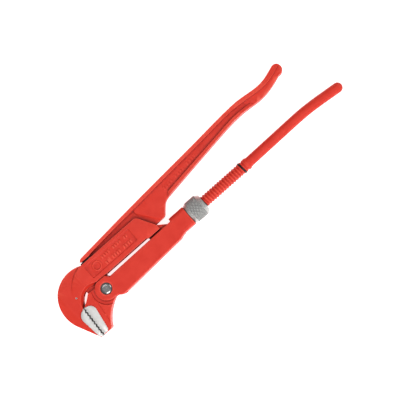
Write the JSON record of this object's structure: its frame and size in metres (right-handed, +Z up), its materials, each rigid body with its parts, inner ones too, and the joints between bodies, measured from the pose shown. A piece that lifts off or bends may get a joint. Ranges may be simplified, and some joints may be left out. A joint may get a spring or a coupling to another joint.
{
  "type": "pipe wrench",
  "caption": "Swedish-pattern pipe wrench with 90 degree toothed jaws: a hook jaw that slides in a guide sleeve, set by a knurled nut, and a lever that closes the lower jaw.",
  "frame": {"origin": "the middle of the bottom of the whole wrench's box, as it lies on its side with the handles together", "axes": "+X along the spindle from the jaws to the handles' ends, +Y from the round handle towards the flanged handle, +Z up through the thickness of the wrench; the jaws open towards -Y"},
  "size_m": [0.3192, 0.08, 0.021],
  "materials": {
    "red_powder_coat": "satin red powder coat on forged steel, with ground bare steel on the jaws' pads and teeth",
    "galvanised_steel": "galvanised, with a fine diamond knurl",
    "polished_steel": "polished",
    "black_spring_steel": "blackened spring steel, satin"
  },
  "bodies": {
    "sleeve": {"guide_sleeve": "red_powder_coat", "pivot_rivet": "polished_steel"},
    "hook": {"hook_jaw": "red_powder_coat", "nut_stop_ring": "black_spring_steel"},
    "nut": {"adjusting_nut": "galvanised_steel"},
    "lever": {"lever_jaw": "red_powder_coat", "nose_spring": "black_spring_steel", "spring_rivet": "polished_steel"}
  },
  "joints": [
    {"name": "jaw_slide", "type": "slide", "parent": "sleeve", "child": "hook", "axis": [-1, 0, 0], "range_m": [0, 0.042]},
    {"name": "nut_spin", "type": "hinge", "parent": "sleeve", "child": "nut", "pos_m": [-0.00874, -0.00992, 0.0105], "axis": [1, 0, 0], "range_deg": [-0.5, 5306.3]},
    {"name": "lever_pivot", "type": "hinge", "parent": "sleeve", "child": "lever", "pos_m": [-0.11454, -0.01072, 0.0105], "axis": [0, 0, 1], "range_deg": [0, 9]}
  ],
  "couplings": [
    {"joint": "nut_spin", "follows": "jaw_slide", "rad_per_m": 2204.6}
  ]
}
